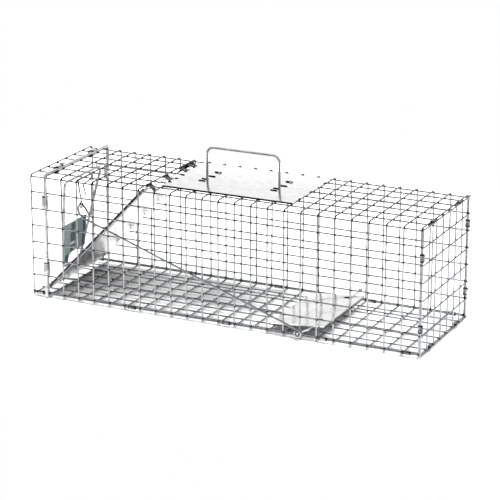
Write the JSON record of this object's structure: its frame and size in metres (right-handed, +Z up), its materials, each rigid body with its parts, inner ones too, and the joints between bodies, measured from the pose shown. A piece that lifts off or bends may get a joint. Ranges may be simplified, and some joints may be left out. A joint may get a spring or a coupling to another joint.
{
  "type": "live catch trap",
  "caption": "Long welded-mesh cage trap with a sloping sheet door, a wire lock frame, a trigger pan and trip rod, and a carrying handle on a roof plate.",
  "frame": {"origin": "middle of the base of the whole trap, on the surface it stands on", "axes": "+X from the door end to the rear end, +Y to the side away from the trip rod, +Z up"},
  "size_m": [0.6158, 0.197, 0.2416],
  "materials": {
    "galvanised_wire": "bright zinc, satin",
    "zinc_plated_rod": "bright zinc, smooth",
    "galvanised_sheet": "galvanised sheet, satin",
    "printed_card": "printed, semi-matt"
  },
  "bodies": {
    "cage": {"near_side_mesh": "galvanised_wire", "far_side_mesh": "galvanised_wire", "roof_mesh": "galvanised_wire", "floor_mesh": "galvanised_wire", "rear_mesh": "galvanised_wire", "entrance_ring": "zinc_plated_rod", "lock_frame_hanger": "zinc_plated_rod", "roof_guide_wire": "zinc_plated_rod", "top_plate": "galvanised_sheet", "handle": "zinc_plated_rod", "floor_clip_near_1": "galvanised_sheet", "floor_clip_near_2": "galvanised_sheet", "floor_clip_near_3": "galvanised_sheet", "floor_clip_near_4": "galvanised_sheet", "floor_clip_near_5": "galvanised_sheet", "floor_clip_far_1": "galvanised_sheet", "floor_clip_far_2": "galvanised_sheet", "floor_clip_far_3": "galvanised_sheet", "floor_clip_far_4": "galvanised_sheet", "floor_clip_far_5": "galvanised_sheet", "rear_clip_top_1": "galvanised_sheet", "rear_clip_top_2": "galvanised_sheet", "rear_clip_bottom_1": "galvanised_sheet", "rear_clip_bottom_2": "galvanised_sheet", "rear_clip_near_1": "galvanised_sheet", "rear_clip_near_2": "galvanised_sheet", "rear_clip_far_1": "galvanised_sheet", "rear_clip_far_2": "galvanised_sheet", "ring_clip_near_lower": "galvanised_sheet", "ring_clip_near_upper": "galvanised_sheet", "ring_clip_far_lower": "galvanised_sheet", "ring_clip_far_upper": "galvanised_sheet", "ring_clip_roof_near": "galvanised_sheet", "ring_clip_roof_far": "galvanised_sheet"},
    "door": {"door_panel": "galvanised_sheet"},
    "lock_frame": {"lock_frame": "zinc_plated_rod", "instruction_card": "printed_card"},
    "pan": {"trigger_pan": "galvanised_sheet", "pan_axle": "zinc_plated_rod", "axle_push_nut": "galvanised_sheet"},
    "trip_rod": {"trip_rod": "zinc_plated_rod"},
    "door_hook": {"door_hook": "zinc_plated_rod"}
  },
  "joints": [
    {"name": "door_swing", "type": "hinge", "parent": "cage", "child": "door", "pos_m": [-0.1291, 0, 0.18604], "axis": [0, 1, 0], "range_deg": [0, 41]},
    {"name": "lock_frame_swing", "type": "hinge", "parent": "cage", "child": "lock_frame", "pos_m": [-0.25356, 0, 0.17914], "axis": [0, 1, 0], "range_deg": [0, 84.15]},
    {"name": "pan_tilt", "type": "hinge", "parent": "cage", "child": "pan", "pos_m": [0.14014, 0, 0.01874], "axis": [0, 1, 0], "range_deg": [-2, 7]},
    {"name": "trip_rod_slide", "type": "slide", "parent": "cage", "child": "trip_rod", "axis": [0.9426, 0, -0.3339], "range_m": [-0.0015, 0.0005]},
    {"name": "door_hook_swing", "type": "hinge", "parent": "cage", "child": "door_hook", "pos_m": [-0.2251, -0.0889, 0.18934], "axis": [0, 1, 0], "range_deg": [-0.65, 2.2]}
  ],
  "couplings": [
    {"joint": "lock_frame_swing", "follows": "door_swing", "ratio": 2.05},
    {"joint": "trip_rod_slide", "follows": "pan_tilt", "m_per_rad": -0.011674},
    {"joint": "door_hook_swing", "follows": "pan_tilt", "ratio": 0.304}
  ]
}
